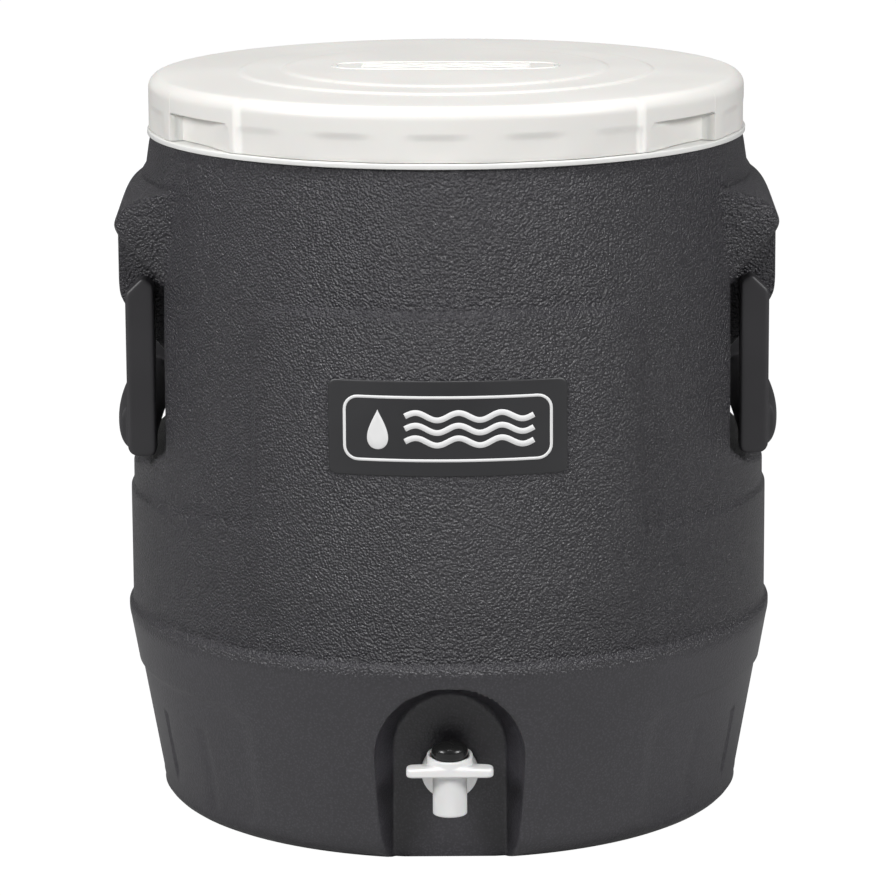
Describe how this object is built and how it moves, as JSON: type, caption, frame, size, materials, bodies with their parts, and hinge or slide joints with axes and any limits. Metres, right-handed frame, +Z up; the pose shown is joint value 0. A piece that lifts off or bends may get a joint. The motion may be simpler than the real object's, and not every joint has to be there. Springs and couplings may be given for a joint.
{
  "type": "water jug",
  "caption": "Insulated round drinks jug with a screw lid, side carrying handles and a sprung push-button tap set in an arched alcove at its foot.",
  "frame": {"origin": "centre of the jug's footprint, on the surface it stands on", "axes": "+Z up, tap and label towards -Y, handles on +X and -X"},
  "size_m": [0.3592, 0.3572, 0.4074],
  "materials": {
    "jacket": "fine pebbled grain, dark grey",
    "handle": "satin, dark grey",
    "label": "smooth satin film, dark grey with a white printed mark",
    "lid": "satin, off-white",
    "liner": "smooth, off-white",
    "foam": "rigid closed-cell foam, pale yellow",
    "tap": "smooth white",
    "button": "glossy black",
    "seal": "soft black",
    "valve": "soft red",
    "gasket": "soft translucent grey",
    "spring": "stainless wire",
    "plug": "smooth, dark grey"
  },
  "bodies": {
    "jug": {"outer_shell": "jacket", "foam_core": "foam", "foam_port_plugs": "plug", "inner_liner": "liner", "front_label": "label", "tap_body": "tap", "tap_gasket": "seal", "tap_washer": "seal", "tap_nut": "tap", "tap_stem_seal": "seal", "tap_spring": "spring"},
    "left_handle": {"left_handle": "handle"},
    "right_handle": {"right_handle": "handle"},
    "lid_seal": {"lid_gasket": "gasket"},
    "lid": {"lid_cover": "lid", "lid_foam": "foam", "lid_inner_panel": "liner"},
    "button": {"tap_button": "button", "tap_stem": "tap", "tap_valve_seal": "valve", "tap_seal_cap": "tap"}
  },
  "joints": [
    {"name": "left_handle_swing", "type": "hinge", "parent": "jug", "child": "left_handle", "pos_m": [-0.1652, 0, 0.292], "axis": [0, 1, 0], "range_deg": [0, 140]},
    {"name": "right_handle_swing", "type": "hinge", "parent": "jug", "child": "right_handle", "pos_m": [0.1652, 0, 0.292], "axis": [0, -1, 0], "range_deg": [0, 140]},
    {"name": "lid_lift", "type": "slide", "parent": "jug", "child": "lid_seal", "axis": [0, 0, 1], "range_m": [0, 0.04]},
    {"name": "lid_turn", "type": "hinge", "parent": "lid_seal", "child": "lid", "pos_m": [0, 0, 0.38], "axis": [0, 0, 1], "range_deg": [0, 240]},
    {"name": "button_press", "type": "slide", "parent": "jug", "child": "button", "axis": [0, 0, -1], "range_m": [0, 0.0034], "stiffness_N_per_m": 900, "springref_m": -0.003, "deforming": ["tap_spring"]}
  ],
  "couplings": [
    {"joint": "lid_lift", "follows": "lid_turn", "m_per_rad": 0.0095493}
  ]
}
